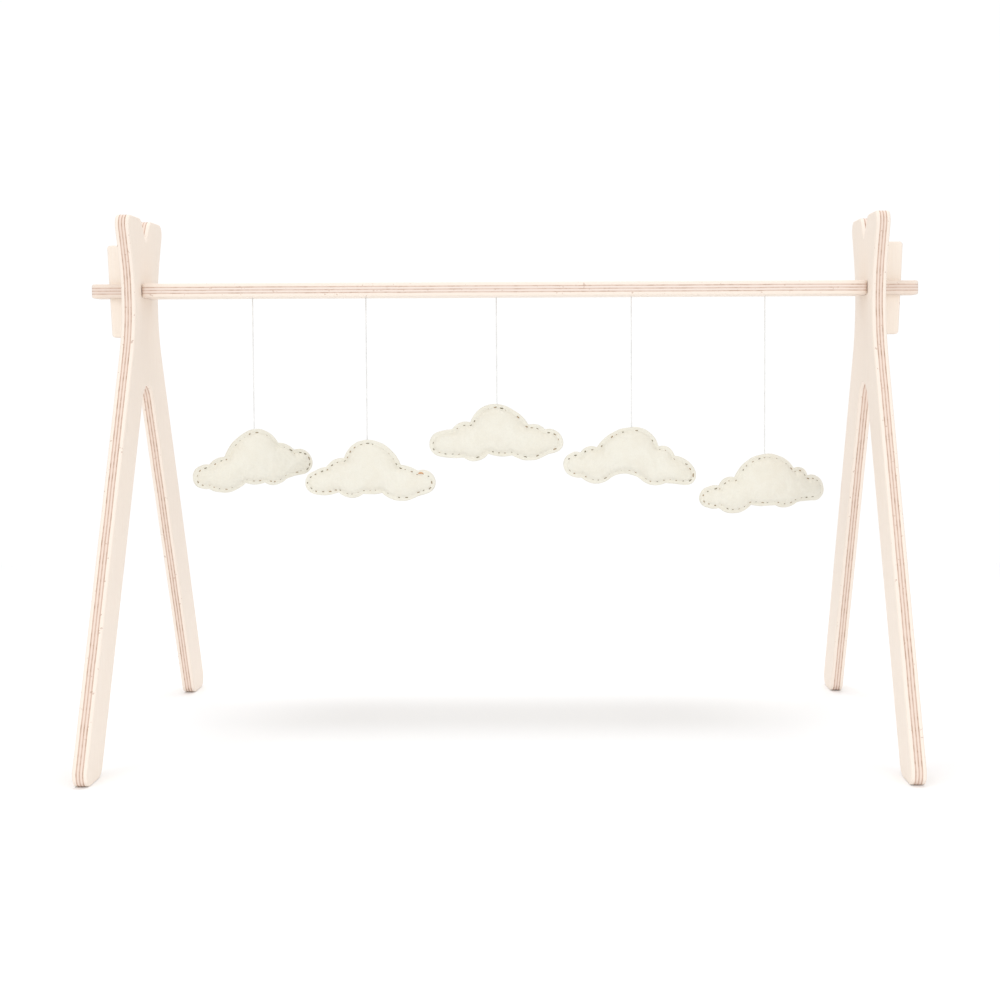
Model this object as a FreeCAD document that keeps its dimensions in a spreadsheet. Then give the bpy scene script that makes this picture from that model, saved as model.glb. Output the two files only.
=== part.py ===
import FreeCAD, Part

import math
import os

import Sketcher

"""Activity play gym: two plywood end frames, a crossbar held by two wedges, and five
stuffed felt clouds that hang from the bar on cords.

Millimetres. +X runs along the bar, +Z is up, -Y is the front. The origin is on the floor,
in the middle of the four feet.
"""

# ---------------------------------------------------------------- driving dimensions

SIZES = {
    # one sheet of plywood makes every wooden piece
    "sheet_thickness": 15.0,
    "edge_round": 2.0,
    # end frames
    "inner_face": 391.0,
    "frame_height": 561.5,
    "sole_outer": 290.0,
    "sole_inner": 228.0,
    "waist_half": 41.5,
    "waist_height": 465.7,
    "horn_half": 85.7,
    "shoulder_half": 22.0,
    "notch_height": 536.5,
    "crotch_height": 414.4,
    "toe_radius": 12.0,
    "heel_radius": 18.0,
    "waist_radius": 120.0,
    "horn_radius": 11.0,
    "shoulder_radius": 18.0,
    "notch_radius": 3.2,
    "crotch_radius": 31.0,
    "mortise_gap": 0.15,
    # crossbar
    "bar_height": 483.5,
    "bar_half_length": 448.0,
    "bar_half_width": 28.0,
    "tenon_half_width": 17.0,
    "bar_corner_radius": 5.0,
    "cord_hole_radius": 1.0,
    "knot_bore_radius": 3.2,
    "knot_bore_depth": 4.0,
    # wedges
    "wedge_half_height": 50.0,
    "wedge_top_width": 26.3,
    "wedge_bottom_width": 22.0,
    "wedge_corner_radius": 3.5,
    "wedge_gap": 0.1,
    "slot_side_gap": 0.2,
    "slot_relief": 1.5,
    # cords
    "cord_radius": 0.6,
    "knot_radius": 2.4,
    "anchor_radius": 2.2,
    "anchor_depth": 7.0,
    "cord_gap": 0.3,
    # clouds
    "cloud_half_depth": 13.0,
    "stitch_radius": 0.5,
    # per cloud: place of its cord, the cord's free length, and how the cloud hangs about it
    "cord_place_1": -275.4, "cord_length_1": 143.0,
    "shift_1": -2.3, "turn_1": 26.0, "tilt_1": 9.0, "tall_1": 1.0,
    "cord_place_2": -151.5, "cord_length_2": 155.0,
    "shift_2": 2.1, "turn_2": -3.0, "tilt_2": 0.0, "tall_2": 1.08,
    "cord_place_3": -9.0, "cord_length_3": 116.5,
    "shift_3": -0.8, "turn_3": 0.0, "tilt_3": 0.0, "tall_3": 1.0,
    "cord_place_4": 138.3, "cord_length_4": 142.5,
    "shift_4": -2.3, "turn_4": 2.0, "tilt_4": -2.0, "tall_4": 1.0,
    "cord_place_5": 283.8, "cord_length_5": 172.5,
    "shift_5": -2.2, "turn_5": 18.0, "tilt_5": 4.5, "tall_5": 1.0,
}

CLOUDS = (1, 2, 3, 4, 5)
TURNED_OVER = (1, 4, 5)          # these clouds show their other side
STITCHES_PER_CLOUD = 40
SAME_PLACE = 0.05                # two places closer than this are one place
FLAT = 1e-4                      # an edge that spans less than this lies in one plane

# Cloud outline about its middle: (point on the arc, end of the arc) from each arc's start.
OUTLINE_START = (-46.6, 4.1)
OUTLINE = (
    ((-37.5, 11.3), (-29.0, 10.3)),      # small lobe beside the crown
    ((-22.2, 20.5), (-11.5, 29.4)),      # crown
    ((-1.0, 31.4), (11.0, 27.6)),
    ((24.0, 20.0), (33.5, 9.3)),
    ((44.5, 8.2), (52.6, 1.6)),          # flat lobe
    ((61.0, 2.2), (66.5, -1.4)),         # end lobe
    ((72.3, -13.0), (67.0, -20.6)),
    ((61.5, -23.0), (56.0, -23.3)),
    ((36.0, -30.2), (15.5, -26.0)),      # wide scallop under the end lobe
    ((3.0, -25.6), (-9.4, -23.0)),       # flat middle of the underside
    ((-23.0, -30.5), (-36.5, -26.8)),    # small scallop
    ((-50.0, -27.2), (-63.5, -24.6)),    # other end lobe
    ((-72.2, -13.0), (-62.5, 1.2)),
    ((-54.5, 3.5), (-46.6, 4.1)),
)

# Cross-section of a stuffed cloud: (part of the half depth, scale of the outline there).
FELT_LEVELS = ((0.0, 1.0), (0.13, 1.0), (0.32, 0.93), (0.68, 0.80), (1.0, 0.50))
FILL_LEVELS = ((0.0, 0.93), (0.18, 0.90), (0.56, 0.76), (0.87, 0.47))
STITCH_SCALE = 0.955

# ---------------------------------------------------------------- document and sheet

doc = FreeCAD.newDocument("play_gym")
sheet = doc.addObject("Spreadsheet::Sheet", "sizes")
for row, (alias, value) in enumerate(SIZES.items(), start=1):
    sheet.set("A%d" % row, alias)
    sheet.set("B%d" % row, repr(value))
    sheet.setAlias("B%d" % row, alias)
doc.recompute()


def size(alias):
    """Value of one cell of the sheet."""
    return float(sheet.get(alias))


# ---------------------------------------------------------------- sketch and body helpers


def new_body(name):
    body = doc.addObject("PartDesign::Body", name)
    body.Label = name
    return body


def sketch_on(body, role, name, lift=None):
    """Sketch on one of the body's own origin planes, lifted off it by an expression."""
    sketch = body.newObject("Sketcher::SketchObject", name)
    plane = [f for f in body.Origin.OriginFeatures if f.Role == role][0]
    sketch.AttachmentSupport = [(plane, "")]
    sketch.MapMode = "FlatFace"
    if lift:
        sketch.setExpression("AttachmentOffset.Base.z", lift)
    return sketch


def bind(sketch, kind, geometry, point, value, expression):
    """Distance of one end of a sketch line from the sketch origin, held by the sheet."""
    index = sketch.addConstraint(Sketcher.Constraint(kind, -1, 1, geometry, point, value))
    sketch.setExpression("Constraints[%d]" % index, expression)


def closed_lines(sketch, points):
    """Closed outline of straight lines, joined end to end."""
    vectors = [FreeCAD.Vector(x, y, 0) for x, y in points]
    count = len(vectors)
    lines = [Part.LineSegment(vectors[i], vectors[(i + 1) % count]) for i in range(count)]
    sketch.addGeometry(lines, False)
    for i in range(count):
        sketch.addConstraint(Sketcher.Constraint("Coincident", i, 2, (i + 1) % count, 1))


def bound_point(sketch, line, across, up):
    """Holds the start of a line at (across, up), each an alias, an expression or None for 0."""
    for kind, cell in (("DistanceX", across), ("DistanceY", up)):
        if cell is None:
            axis = -2 if kind == "DistanceX" else -1
            sketch.addConstraint(Sketcher.Constraint("PointOnObject", line, 1, axis))
        else:
            expression, value = cell
            bind(sketch, kind, line, 1, value, expression)


def mirrored(sketch, line, other, axis):
    """Makes the starts of two lines symmetric about the sketch's -1 (x) or -2 (y) axis."""
    sketch.addConstraint(Sketcher.Constraint("Symmetric", line, 1, other, 1, axis))


def cell(alias):
    return "sizes.%s" % alias, size(alias)


def padded(body, sketch, length, midplane=False):
    pad = body.newObject("PartDesign::Pad", sketch.Name + "_pad")
    pad.Profile = sketch
    pad.Midplane = midplane
    pad.setExpression("Length", length)
    doc.recompute()
    return pad


def cut_through(body, sketch):
    """Pocket through the whole thickness, both ways from the sketch."""
    before = body.Shape.Volume
    pocket = body.newObject("PartDesign::Pocket", sketch.Name + "_pocket")
    pocket.Profile = sketch
    pocket.Type = "ThroughAll"
    pocket.Midplane = True
    doc.recompute()
    if not body.Shape.Volume < before:
        raise RuntimeError("%s cuts nothing" % sketch.Name)
    return pocket


def rounded(body, name, base, edges, radius):
    """Fillet of the named edges, with its radius held by the sheet."""
    fillet = body.newObject("PartDesign::Fillet", name)
    fillet.Base = (base, edges)
    fillet.setExpression("Radius", radius)
    doc.recompute()
    return fillet


def edges_at(shape, direction, places):
    """Names of the edges along a direction whose middle is at one of the (u, v) places."""
    along = "xyz".index(direction)
    found = []
    for number, edge in enumerate(shape.Edges, start=1):
        if len(edge.Vertexes) < 2:
            continue
        first, last = (v.Point for v in edge.Vertexes)
        if abs(first[along] - last[along]) < edge.Length - SAME_PLACE:
            continue
        across = [(first[i] + last[i]) / 2 for i in range(3) if i != along]
        if any(math.dist(across, place) < SAME_PLACE for place in places):
            found.append("Edge%d" % number)
    return found


def outline_edges(shape, direction):
    """Names of the edges of the two broad faces that look along a direction."""

    def span(item):
        box = item.BoundBox
        return {"x": (box.XMin, box.XMax), "y": (box.YMin, box.YMax),
                "z": (box.ZMin, box.ZMax)}[direction]

    names = []
    for number, edge in enumerate(shape.Edges, start=1):
        start, end = span(edge)
        if end - start < FLAT and min(abs(start - face) for face in span(shape)) < FLAT:
            names.append("Edge%d" % number)
    return names


# ---------------------------------------------------------------- end frames


def end_frame(name, base_x):
    """A tipi-shaped plate with two legs, a waist, and two horns parted by a notch."""
    body = new_body(name)
    outline = sketch_on(body, "YZ_Plane", name + "_outline")
    half = [
        ("sole_inner", None), ("sole_outer", None), ("waist_half", "waist_height"),
        ("horn_half", "frame_height"), ("shoulder_half", "frame_height"),
    ]
    right = [(size(a), size(b) if b else 0.0) for a, b in half]
    points = right + [(0.0, size("notch_height"))]
    points += [(-y, z) for y, z in reversed(right)] + [(0.0, size("crotch_height"))]
    closed_lines(outline, points)
    for line, (across, up) in enumerate(half):
        bound_point(outline, line, cell(across), cell(up) if up else None)
        mirrored(outline, line, len(points) - 2 - line, -2)
    bound_point(outline, len(half), None, cell("notch_height"))
    bound_point(outline, len(points) - 1, None, cell("crotch_height"))
    plate = padded(body, outline, "sizes.sheet_thickness")

    corners = (
        ("toe", size("sole_outer"), 0.0),
        ("heel", size("sole_inner"), 0.0),
        ("waist", size("waist_half"), size("waist_height")),
        ("horn", size("horn_half"), size("frame_height")),
        ("shoulder", size("shoulder_half"), size("frame_height")),
        ("notch", 0.0, size("notch_height")),
        ("crotch", 0.0, size("crotch_height")),
    )
    shape = plate
    for corner, across, up in corners:
        places = sorted({(across, up), (-across, up)})
        edges = edges_at(shape.Shape, "x", places)
        if len(edges) != len(places):
            raise RuntimeError("%s: %s corner not found" % (name, corner))
        shape = rounded(body, "%s_%s" % (name, corner), shape, edges, "sizes.%s_radius" % corner)
    rounded(body, name + "_edges", shape, outline_edges(shape.Shape, "x"), "sizes.edge_round")

    mortise = sketch_on(body, "YZ_Plane", name + "_mortise")
    wide = size("tenon_half_width") + size("mortise_gap")
    tall = size("sheet_thickness") / 2 + size("mortise_gap")
    middle = size("bar_height")
    closed_lines(mortise, [(wide, middle - tall), (wide, middle + tall),
                           (-wide, middle + tall), (-wide, middle - tall)])
    across = ("sizes.tenon_half_width + sizes.mortise_gap", wide)
    low = ("sizes.bar_height - sizes.sheet_thickness / 2 - sizes.mortise_gap", middle - tall)
    high = ("sizes.bar_height + sizes.sheet_thickness / 2 + sizes.mortise_gap", middle + tall)
    bound_point(mortise, 0, across, low)
    bound_point(mortise, 1, across, high)
    mirrored(mortise, 1, 2, -2)
    mirrored(mortise, 0, 3, -2)
    cut_through(body, mortise)
    body.setExpression("Placement.Base.x", base_x)
    return body


# ---------------------------------------------------------------- crossbar


def crossbar():
    """A bar with a narrower tenon at each end, a slot in each tenon, and the cord holes."""
    body = new_body("crossbar")
    outline = sketch_on(body, "XY_Plane", "bar_outline")
    corner = [("inner_face", "bar_half_width"), ("inner_face", "tenon_half_width"),
              ("bar_half_length", "tenon_half_width")]
    quarter = [(size(x), size(y)) for x, y in corner]
    points = quarter + [(x, -y) for x, y in reversed(quarter)]
    points += [(-x, -y) for x, y in quarter] + [(-x, y) for x, y in reversed(quarter)]
    closed_lines(outline, points)
    last = len(points) - 1
    for line, (x, y) in enumerate(corner):
        bound_point(outline, line, cell(x), cell(y))
        mirrored(outline, line, 5 - line, -1)
        mirrored(outline, line, last - line, -2)
        mirrored(outline, last - line, 6 + line, -1)
    bar = padded(body, outline, "sizes.sheet_thickness", midplane=True)

    places = [(sx * size(x), sy * size(y)) for sx in (1, -1) for sy in (1, -1)
              for x, y in (corner[0], corner[2])]
    edges = edges_at(bar.Shape, "z", places)
    if len(edges) != len(places):
        raise RuntimeError("bar corners not found")
    shape = rounded(body, "bar_corners", bar, edges, "sizes.bar_corner_radius")
    rounded(body, "bar_edges", shape, outline_edges(shape.Shape, "z"), "sizes.edge_round")

    outer_face = size("inner_face") + size("sheet_thickness")
    slot_start = outer_face - size("slot_relief")
    slot_end = outer_face + size("wedge_gap") + wedge_width_at(size("sheet_thickness") / 2)
    slot_end += size("cord_gap")
    reach = size("sheet_thickness") / 2 + size("slot_side_gap")
    slot_half = ("sizes.sheet_thickness / 2 + sizes.slot_side_gap", reach)
    start = ("sizes.inner_face + sizes.sheet_thickness - sizes.slot_relief", slot_start)
    middle_width = "(sizes.wedge_top_width + sizes.wedge_bottom_width) / 2"
    slope = "(sizes.wedge_top_width - sizes.wedge_bottom_width) / 4 / sizes.wedge_half_height"
    end = ("sizes.inner_face + sizes.sheet_thickness + sizes.wedge_gap + sizes.cord_gap + "
           "%s + %s * sizes.sheet_thickness" % (middle_width, slope), slot_end)
    for side, label in ((1, "right"), (-1, "left")):
        slot = sketch_on(body, "XY_Plane", label + "_slot")
        closed_lines(slot, [(side * slot_end, reach), (side * slot_start, reach),
                            (side * slot_start, -reach), (side * slot_end, -reach)])
        for line, (text, value) in ((0, end), (1, start)):
            signed = text if side > 0 else "-(%s)" % text
            bound_point(slot, line, (signed, side * value), slot_half)
            mirrored(slot, line, 3 - line, -1)
        cut_through(body, slot)

    holes = sketch_on(body, "XY_Plane", "cord_holes")
    bores = sketch_on(body, "XY_Plane", "knot_bores", "sizes.sheet_thickness / 2")
    for sketch, radius in ((holes, "cord_hole_radius"), (bores, "knot_bore_radius")):
        for number, cloud in enumerate(CLOUDS):
            place = cell("cord_place_%d" % cloud)
            centre = FreeCAD.Vector(place[1], 0, 0)
            sketch.addGeometry(Part.Circle(centre, FreeCAD.Vector(0, 0, 1), size(radius)), False)
            sketch.addConstraint(Sketcher.Constraint("PointOnObject", number, 3, -1))
            bind(sketch, "DistanceX", number, 3, place[1], place[0])
            index = sketch.addConstraint(Sketcher.Constraint("Radius", number, size(radius)))
            sketch.setExpression("Constraints[%d]" % index, "sizes." + radius)
    cut_through(body, holes)
    before = body.Shape.Volume
    pocket = body.newObject("PartDesign::Pocket", "knot_bores_pocket")
    pocket.Profile = bores
    pocket.setExpression("Length", "sizes.knot_bore_depth")
    doc.recompute()
    if not body.Shape.Volume < before:
        raise RuntimeError("the knot bores cut nothing")
    body.setExpression("Placement.Base.z", "sizes.bar_height")
    return body


# ---------------------------------------------------------------- wedges


def wedge_width_at(height):
    """Width of a wedge at a height above its middle."""
    top, bottom = size("wedge_top_width"), size("wedge_bottom_width")
    return (top + bottom) / 2 + (top - bottom) * height / (2 * size("wedge_half_height"))


def wedge(name, side):
    """A tapered key, straight against the frame and slanted on its outer edge."""
    body = new_body(name)
    outline = sketch_on(body, "XZ_Plane", name + "_outline")
    tall, top, bottom = size("wedge_half_height"), size("wedge_top_width"), size("wedge_bottom_width")
    points = [(0.0, tall), (top, tall), (bottom, -tall), (0.0, -tall)]
    closed_lines(outline, points)
    bound_point(outline, 0, None, cell("wedge_half_height"))
    bound_point(outline, 1, cell("wedge_top_width"), cell("wedge_half_height"))
    bound_point(outline, 2, cell("wedge_bottom_width"), ("-sizes.wedge_half_height", -tall))
    mirrored(outline, 0, 3, -1)
    key = padded(body, outline, "sizes.sheet_thickness", midplane=True)
    edges = edges_at(key.Shape, "y", points)
    if len(edges) != len(points):
        raise RuntimeError("%s: corners not found" % name)
    shape = rounded(body, name + "_corners", key, edges, "sizes.wedge_corner_radius")
    rounded(body, name + "_edges", shape, outline_edges(shape.Shape, "y"), "sizes.edge_round")
    if side < 0:
        body.Placement.Rotation = FreeCAD.Rotation(FreeCAD.Vector(0, 0, 1), 180)
    sign = "" if side > 0 else "-"
    body.setExpression("Placement.Base.x",
                       "%s(sizes.inner_face + sizes.sheet_thickness + sizes.wedge_gap)" % sign)
    body.setExpression("Placement.Base.z", "sizes.bar_height")
    return body


# ---------------------------------------------------------------- clouds


def cloud_wire(cloud, scale, depth):
    """The cloud's outline, scaled about its middle, in the plane y = depth."""
    flip = -1.0 if cloud in TURNED_OVER else 1.0
    tall = size("tall_%d" % cloud)

    def at(point):
        return FreeCAD.Vector(flip * scale * point[0], depth, tall * scale * point[1])

    start, edges = OUTLINE_START, []
    for middle, end in OUTLINE:
        edges.append(Part.Arc(at(start), at(middle), at(end)).toShape())
        start = end
    return Part.Wire(edges)


def dome(cloud, levels, side):
    """Solid between the seam plane and one crown, or both crowns when side is 0."""
    deep = size("cloud_half_depth")
    if side == 0:
        stack = [(-y, s) for y, s in reversed(levels[1:])] + list(levels)
    else:
        stack = [(side * y, s) for y, s in levels]
    wires = [cloud_wire(cloud, s, y * deep) for y, s in stack]
    return Part.makeLoft(wires, True, True)


def cloud_turn(cloud):
    """How the cloud hangs: tilted in its own plane, then turned about its cord."""
    tilt = FreeCAD.Rotation(FreeCAD.Vector(0, -1, 0), size("tilt_%d" % cloud))
    turn = FreeCAD.Rotation(FreeCAD.Vector(0, 0, 1), size("turn_%d" % cloud))
    return turn.multiply(tilt)


def top_above(cloud):
    """Height of the cloud's top above its middle, on the line of its cord."""
    solid = dome(cloud, FELT_LEVELS, 0)
    solid.Placement = FreeCAD.Placement(FreeCAD.Vector(0, 0, 0), cloud_turn(cloud))
    across = -size("shift_%d" % cloud)
    reach = solid.BoundBox.DiagonalLength
    line = Part.makeLine(FreeCAD.Vector(across, 0, 0), FreeCAD.Vector(across, 0, reach))
    return line.common(solid).BoundBox.ZMax


def underside():
    return size("bar_height") - size("sheet_thickness") / 2


def cloud_top(cloud):
    """Height at which the cord meets the cloud."""
    return underside() - 2 * size("cord_gap") - size("cord_length_%d" % cloud)


def cloud_place(cloud):
    middle = FreeCAD.Vector(size("cord_place_%d" % cloud) + size("shift_%d" % cloud), 0,
                            cloud_top(cloud) - top_above(cloud))
    return FreeCAD.Placement(middle, cloud_turn(cloud))


def feature(name, shape, placement):
    item = doc.addObject("Part::Feature", name)
    item.Label = name
    item.Shape = shape
    item.Placement = placement
    return item


def anchor_knot(cloud):
    """The knot inside the cloud, with the last of the cord above it."""
    centre = FreeCAD.Vector(size("cord_place_%d" % cloud), 0,
                            cloud_top(cloud) - size("anchor_depth"))
    ball = Part.makeSphere(size("anchor_radius"), centre)
    return ball.fuse(Part.makeCylinder(size("cord_radius"), size("anchor_depth"), centre))


def stitching(cloud, placement, knot):
    """Threads through both felts, evenly spaced just inside the outline, clear of the knot."""
    wire = cloud_wire(cloud, STITCH_SCALE, 0.0)
    half = FELT_LEVELS[2][0] * size("cloud_half_depth")
    threads = []
    for point in wire.discretize(Number=STITCHES_PER_CLOUD + 1)[:-1]:
        thread = Part.makeCylinder(size("stitch_radius"), 2 * half,
                                   FreeCAD.Vector(point.x, -half, point.z),
                                   FreeCAD.Vector(0, 1, 0))
        thread.Placement = placement.multiply(thread.Placement)
        if thread.distToShape(knot)[0] > size("cord_gap"):
            threads.append(thread)
    return Part.makeCompound(threads)


def cloud_pieces(cloud):
    """Two felts, the filling between them, the stitching and the knot that holds the cord."""
    placement, unmoved = cloud_place(cloud), FreeCAD.Placement()
    filling = dome(cloud, FILL_LEVELS, 0)
    front = dome(cloud, FELT_LEVELS, -1).cut(filling)
    back = dome(cloud, FELT_LEVELS, 1).cut(filling)
    knot = anchor_knot(cloud)
    return [
        feature("cloud_%d_front_felt" % cloud, front, placement),
        feature("cloud_%d_back_felt" % cloud, back, placement),
        feature("cloud_%d_stuffing" % cloud, filling, placement),
        feature("cloud_%d_stitching" % cloud, stitching(cloud, placement, knot), unmoved),
        feature("cloud_%d_anchor_knot" % cloud, knot, unmoved),
    ]


# ---------------------------------------------------------------- cords and top knots


def cord(cloud):
    """The free stretch of cord, from just under the bar to just above the cloud."""
    tube = doc.addObject("Part::Cylinder", "cord_%d" % cloud)
    tube.Label = "cord_%d" % cloud
    tube.setExpression("Radius", "sizes.cord_radius")
    tube.setExpression("Height", "sizes.cord_length_%d" % cloud)
    tube.setExpression("Placement.Base.x", "sizes.cord_place_%d" % cloud)
    tube.setExpression("Placement.Base.z", "sizes.bar_height - sizes.sheet_thickness / 2"
                       " - sizes.cord_gap - sizes.cord_length_%d" % cloud)
    return tube


def top_knot(cloud):
    """The stopper knot in its bore on top of the bar, with the cord through the hole."""
    ball = doc.addObject("Part::Sphere", "knot_ball_%d" % cloud)
    ball.setExpression("Radius", "sizes.knot_radius")
    ball.setExpression("Placement.Base.z", "sizes.sheet_thickness - sizes.knot_bore_depth"
                       " + sizes.knot_radius")
    through = doc.addObject("Part::Cylinder", "knot_tail_%d" % cloud)
    through.setExpression("Radius", "sizes.cord_radius")
    through.setExpression("Height", "sizes.sheet_thickness - sizes.knot_bore_depth"
                          " + sizes.knot_radius")
    knot = doc.addObject("Part::Fuse", "top_knot_%d" % cloud)
    knot.Label = "cord_%d_top_knot" % cloud
    knot.Base = ball
    knot.Tool = through
    knot.setExpression("Placement.Base.x", "sizes.cord_place_%d" % cloud)
    knot.setExpression("Placement.Base.z", "sizes.bar_height - sizes.sheet_thickness / 2")
    return knot


# ---------------------------------------------------------------- build, test, write

kept = [
    end_frame("left_end_frame", "-sizes.inner_face - sizes.sheet_thickness"),
    end_frame("right_end_frame", "sizes.inner_face"),
    crossbar(),
    wedge("left_wedge", -1),
    wedge("right_wedge", 1),
]
for cloud in CLOUDS:
    kept += [cord(cloud), top_knot(cloud)] + cloud_pieces(cloud)
doc.recompute()

for item in doc.Objects:
    if "Invalid" in item.State or "Error" in item.State:
        raise RuntimeError("%s failed: %s" % (item.Name, item.State))
for item in kept:
    if item.Shape.isNull() or not item.Shape.isValid() or not item.Shape.Solids:
        raise RuntimeError("%s has no valid solid" % item.Label)

os.makedirs("parts", exist_ok=True)
for item in kept:
    item.Shape.exportStep("parts/%s.step" % item.Label)
    box = item.Shape.BoundBox
    print("%-26s solids %2d  volume %9.0f  x %7.1f %7.1f  y %6.1f %6.1f  z %6.1f %6.1f" % (
        item.Label, len(item.Shape.Solids), item.Shape.Volume,
        box.XMin, box.XMax, box.YMin, box.YMax, box.ZMin, box.ZMax))
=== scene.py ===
import logging
import math
from dataclasses import dataclass
from enum import Enum

import bpy
import numpy as np
from mathutils import Matrix, Vector, geometry, noise


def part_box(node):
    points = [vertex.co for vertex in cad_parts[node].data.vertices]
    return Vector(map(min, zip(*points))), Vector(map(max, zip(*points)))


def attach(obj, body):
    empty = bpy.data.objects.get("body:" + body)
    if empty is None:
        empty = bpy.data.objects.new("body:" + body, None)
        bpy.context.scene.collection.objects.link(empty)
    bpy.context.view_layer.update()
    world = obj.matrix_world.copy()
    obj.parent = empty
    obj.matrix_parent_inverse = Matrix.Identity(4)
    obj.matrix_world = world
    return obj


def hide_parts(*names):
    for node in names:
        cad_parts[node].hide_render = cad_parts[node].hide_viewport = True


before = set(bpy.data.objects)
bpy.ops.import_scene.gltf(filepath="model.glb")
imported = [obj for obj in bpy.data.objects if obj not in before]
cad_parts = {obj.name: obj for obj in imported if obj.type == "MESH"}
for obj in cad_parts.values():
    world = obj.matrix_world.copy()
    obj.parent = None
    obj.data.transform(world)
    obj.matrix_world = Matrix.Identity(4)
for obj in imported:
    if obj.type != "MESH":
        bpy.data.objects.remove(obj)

"""Looks of a wooden play gym: plywood end frames and crossbar, two wedges, and five stuffed
felt clouds that hang on cords.

Metres. +X runs along the bar, +Z is up, -Y is the front.
"""

logging.basicConfig(level=logging.INFO, format="%(message)s")
log = logging.getLogger("play_gym")

CLOUDS = (1, 2, 3, 4, 5)
MM = 0.001
TUBE_ROUNDNESS = 3
ROW_PITCH = 0.866
STRAIGHT = 1e-9

Socket = bpy.types.NodeSocket
Sockets = bpy.types.bpy_prop_collection


class Axis(Enum):
    """Axis of the object's frame."""

    X = 0
    Y = 1
    Z = 2


class Side(Enum):
    """Side of a cloud, as the sign of its outward Y."""

    FRONT = -1
    BACK = 1


def shade(red: int, green: int, blue: int) -> tuple[float, float, float, float]:
    """Colour as the eye reads it (0 to 255) turned into linear light.

    Args:
        red: Red, 0 to 255.
        green: Green, 0 to 255.
        blue: Blue, 0 to 255.

    Returns:
        Linear red, green, blue and an alpha of 1.
    """
    toe, slope, offset, power = 0.04045, 12.92, 0.055, 2.4
    parts = [c / 255 for c in (red, green, blue)]
    linear = [c / slope if c <= toe else ((c + offset) / (1 + offset)) ** power for c in parts]
    return (*linear, 1.0)


# ---------------------------------------------------------------- node helpers


class Bench:
    """Adds nodes to one tree and joins them."""

    def __init__(self, tree: bpy.types.NodeTree) -> None:
        """Works on the given tree."""
        self.tree = tree

    def add(self, kind: str, inputs: dict | None = None, **settings) -> bpy.types.Node:
        """Adds a node.

        Args:
            kind: Blender's name of the node type.
            inputs: Values or sockets for its inputs, by input name or number.
            **settings: Attributes of the node.

        Returns:
            The node.
        """
        node = self.tree.nodes.new(kind)
        for key, value in settings.items():
            setattr(node, key, value)
        for key, value in (inputs or {}).items():
            self.feed(node.inputs[key], value)
        return node

    def feed(self, socket: Socket, value: object) -> None:
        """Links a socket to another, or sets its value.

        Args:
            socket: The input.
            value: A socket or a plain value.
        """
        if isinstance(value, Socket):
            self.tree.links.new(value, socket)
        else:
            socket.default_value = value

    def place(self) -> Socket:
        """Coordinates in the piece's own frame."""
        return self.add("ShaderNodeTexCoord").outputs["Object"]

    def math(self, operation: str, first: object, second: object = 0.0) -> Socket:
        """Adds a Math node and gives its result."""
        return self.add("ShaderNodeMath", {0: first, 1: second}, operation=operation).outputs[0]

    def times(self, first: object, second: object) -> Socket:
        """Multiplies two values."""
        return self.math("MULTIPLY", first, second)

    def ramp(self, value: object, low: object, high: object, start: float = 0.0,
             end: float = 1.0) -> Socket:
        """Smooth step between two edges.

        Args:
            value: What is tested.
            low: Value at which the result is start.
            high: Value at which the result is end.
            start: Result below low.
            end: Result above high.

        Returns:
            The result's socket.
        """
        node = self.add("ShaderNodeMapRange", {0: value, 1: low, 2: high, 3: start, 4: end},
                        interpolation_type="SMOOTHSTEP")
        return node.outputs[0]

    def band(self, value: Socket, edge: float, soft: float) -> Socket:
        """1 below an edge and 0 above it, with a soft change."""
        return self.ramp(value, edge - soft, edge + soft, 1.0, 0.0)

    def mix(self, factor: object, first: object, second: object, blend: str = "MIX") -> Socket:
        """Blends two colours.

        Args:
            factor: Share of the second colour.
            first: The first colour.
            second: The second colour.
            blend: Blender's name of the way to blend.

        Returns:
            The colour's socket.
        """
        node = self.add("ShaderNodeMix", data_type="RGBA", blend_type=blend)
        for socket, value in zip((node.inputs[0], node.inputs[6], node.inputs[7]),
                                 (factor, first, second)):
            self.feed(socket, value)
        return node.outputs[2]

    def speckle(self, vector: Socket, scale: float, detail: float = 3.0,
                roughness: float = 0.5) -> Socket:
        """Noise from 0 to 1 at a scale in features per metre."""
        node = self.add("ShaderNodeTexNoise", {"Vector": vector, "Scale": scale,
                                               "Detail": detail, "Roughness": roughness})
        return node.outputs[0]

    def stretched(self, vector: Socket, scale: tuple, location: tuple = (0.0, 0.0, 0.0)) -> Socket:
        """Coordinates scaled on each axis and shifted."""
        node = self.add("ShaderNodeMapping", {"Vector": vector, "Scale": scale,
                                              "Location": location})
        return node.outputs[0]

    def bump(self, surface: bpy.types.Node, height: Socket, strength: float,
             distance: float) -> None:
        """Gives a Principled surface a relief of the given strength and depth in metres."""
        node = self.add("ShaderNodeBump", {"Strength": strength, "Distance": distance,
                                           "Height": height})
        self.feed(surface.inputs["Normal"], node.outputs[0])


def shader_group(name: str, inputs: dict[str, str], outputs: dict[str, str]) -> tuple:
    """Empty shader node group with named sockets.

    Args:
        name: Name of the group.
        inputs: Socket type (Float, Vector or Color) by input name.
        outputs: Socket type by output name.

    Returns:
        The group, a Bench on it, its input node and its output node.
    """
    group = bpy.data.node_groups.new(name, "ShaderNodeTree")
    for words, direction in ((inputs, "INPUT"), (outputs, "OUTPUT")):
        for word, kind in words.items():
            group.interface.new_socket(word, in_out=direction, socket_type="NodeSocket" + kind)
    bench = Bench(group)
    return group, bench, bench.add("NodeGroupInput"), bench.add("NodeGroupOutput")


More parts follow.
